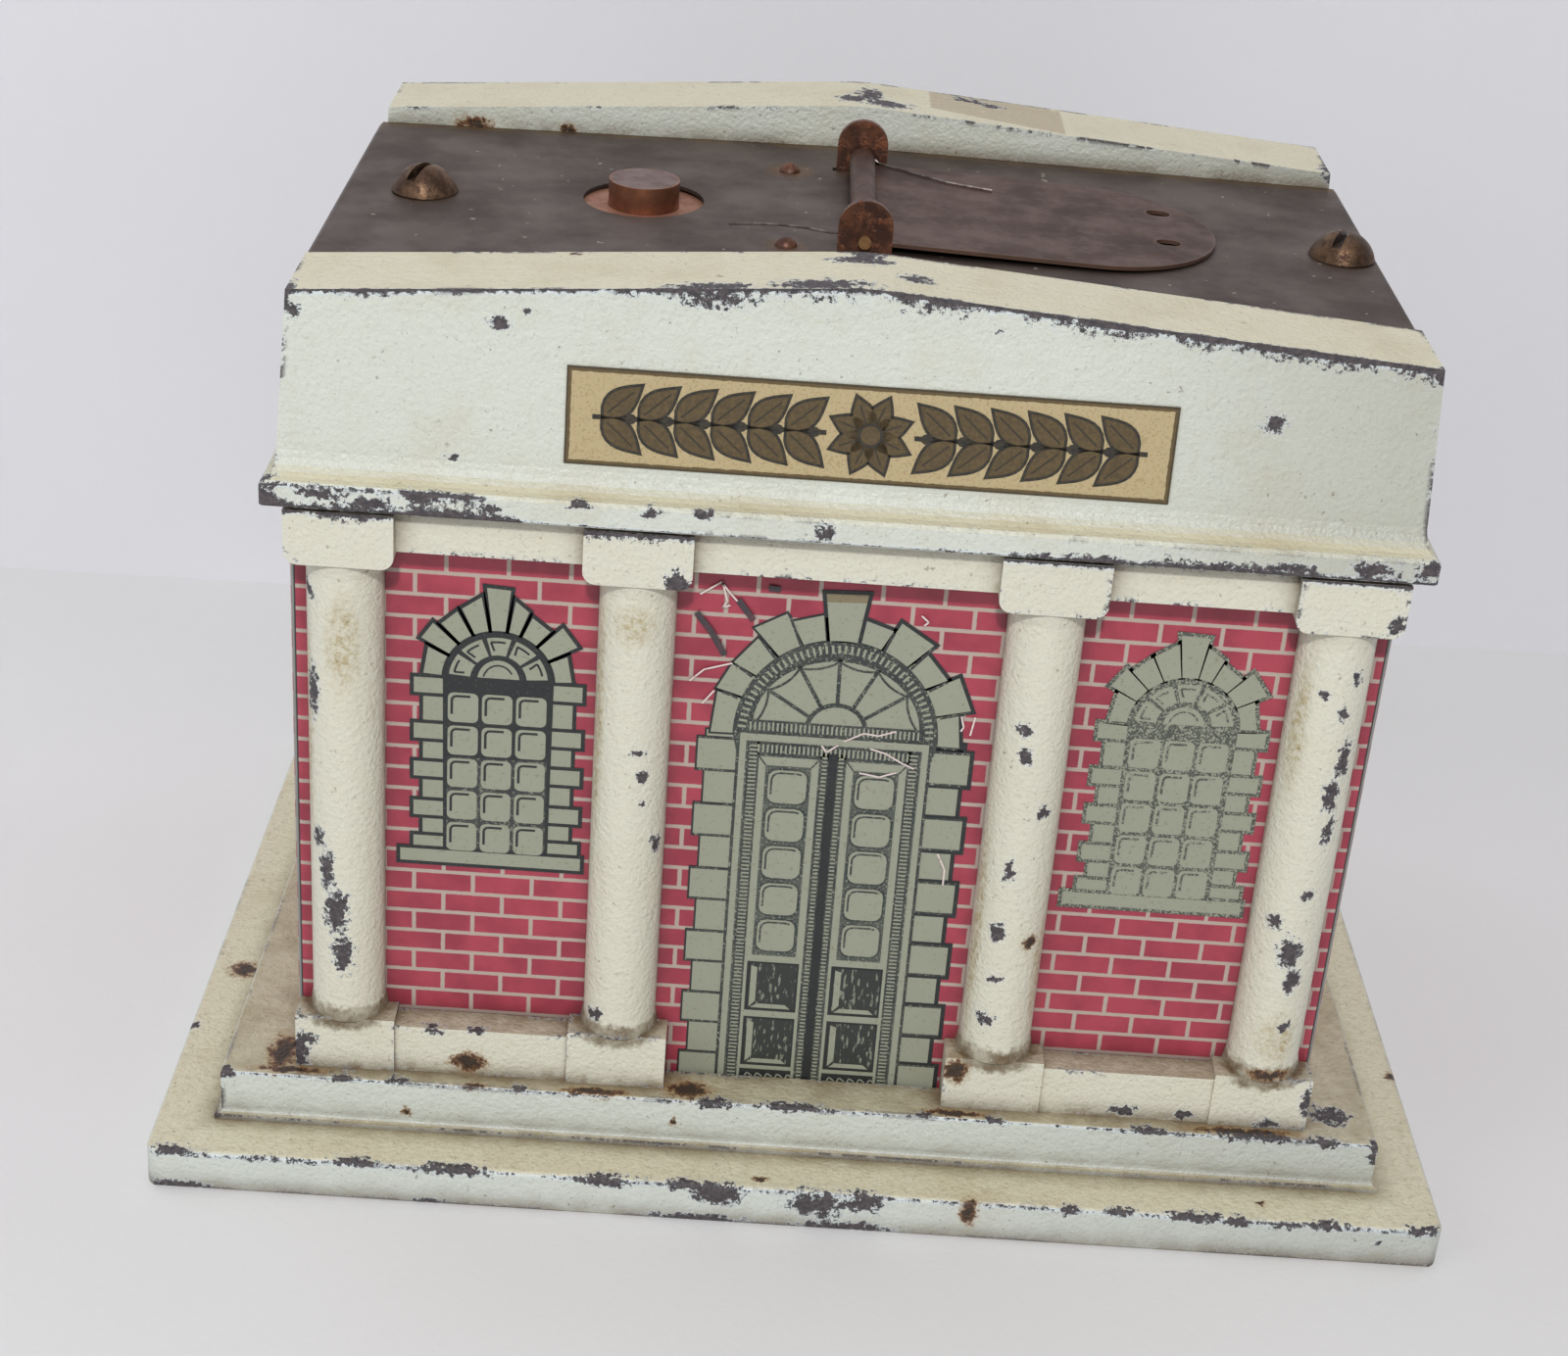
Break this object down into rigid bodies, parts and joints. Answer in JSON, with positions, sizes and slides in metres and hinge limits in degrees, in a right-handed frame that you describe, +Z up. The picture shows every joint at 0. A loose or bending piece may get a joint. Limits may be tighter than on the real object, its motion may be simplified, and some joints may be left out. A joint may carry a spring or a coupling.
{
  "type": "tin money box",
  "caption": "Money box shaped like a columned building, with a spring coin trap and electromagnet in its roof",
  "frame": {"origin": "middle of the base's footprint, on the surface it stands on", "axes": "+X to the right along the front, +Y to the back, +Z up; the doorway faces -Y"},
  "size_m": [0.168, 0.119, 0.124],
  "materials": {
    "base_casting": "cream paint on cast metal, chipped",
    "front_portico": "cream paint on cast metal, chipped",
    "rear_portico": "cream paint on cast metal, chipped",
    "tin_body": "printed tin, satin",
    "roof_casting": "cream paint on cast metal, chipped",
    "sign_label": "printed transfer, matt",
    "roof_plate": "dark patinated steel",
    "tie_screws": "rust brown steel",
    "tie_nuts": "plain steel",
    "trap_bracket": "rust brown steel",
    "bracket_rivets": "rust brown steel",
    "trap_pin": "plain steel",
    "coin_trap": "copper brown sheet, worn",
    "trap_spring": "fine spring wire",
    "magnet_yoke": "plain iron",
    "magnet_core": "iron, copper tinted",
    "core_nut": "satin brass",
    "pole_disc": "copper tinted, dull",
    "coil_bobbin": "pressed fibre",
    "coil_winding": "enamelled wire",
    "partition": "plain tinplate",
    "contact_board": "pressed fibre",
    "board_screws": "satin brass",
    "reed_foot": "satin brass",
    "contact_reed": "spring brass",
    "contact_post": "satin brass",
    "contact_screw": "plain steel",
    "dry_cell": "card sleeve",
    "cell_cap": "satin brass",
    "battery_board": "plain softwood",
    "lower_contact": "spring brass",
    "upper_contact": "spring brass",
    "cell_lead": "cloth covered wire",
    "coil_lead": "cloth covered wire",
    "reed_lead": "cloth covered wire",
    "bottom_cover": "plain sheet, dull",
    "cover_screws": "plain steel",
    "coin_door": "plain sheet, dull",
    "door_pin": "plain steel",
    "door_catch": "spring brass"
  },
  "bodies": {
    "house": {"base_casting": "base_casting", "front_portico": "front_portico", "rear_portico": "rear_portico", "tin_body": "tin_body", "roof_casting": "roof_casting", "sign_label": "sign_label", "roof_plate": "roof_plate", "tie_screws": "tie_screws", "tie_nuts": "tie_nuts", "trap_bracket": "trap_bracket", "bracket_rivets": "bracket_rivets", "trap_pin": "trap_pin", "trap_spring": "trap_spring", "magnet_yoke": "magnet_yoke", "magnet_core": "magnet_core", "core_nut": "core_nut", "pole_disc": "pole_disc", "coil_bobbin": "coil_bobbin", "coil_winding": "coil_winding", "partition": "partition", "contact_board": "contact_board", "board_screws": "board_screws", "reed_foot": "reed_foot", "contact_post": "contact_post", "contact_screw": "contact_screw", "dry_cell": "dry_cell", "cell_cap": "cell_cap", "battery_board": "battery_board", "lower_contact": "lower_contact", "upper_contact": "upper_contact", "cell_lead": "cell_lead", "coil_lead": "coil_lead", "reed_lead": "reed_lead", "bottom_cover": "bottom_cover", "cover_screws": "cover_screws", "door_pin": "door_pin", "door_catch": "door_catch"},
    "coin_trap": {"coin_trap": "coin_trap"},
    "contact_reed": {"contact_reed": "contact_reed"},
    "coin_door": {"coin_door": "coin_door"}
  },
  "joints": [
    {"name": "coin_trap", "type": "hinge", "parent": "house", "child": "coin_trap", "pos_m": [0, 0.00275, 0.11885], "axis": [0, -1, 0], "range_deg": [0, 182], "stiffness_Nm_per_rad": 0.0012, "springref_deg": -34.38, "deforming": ["trap_spring"]},
    {"name": "contact_reed", "type": "hinge", "parent": "house", "child": "contact_reed", "pos_m": [-0.0196, 0.03, 0.067], "axis": [0, -1, 0], "range_deg": [0, 4], "stiffness_Nm_per_rad": 0.02, "springref_deg": -2.86},
    {"name": "coin_door", "type": "hinge", "parent": "house", "child": "coin_door", "pos_m": [0.025, 0.0295, 0.003], "axis": [1, 0, 0], "range_deg": [0, 100]}
  ]
}
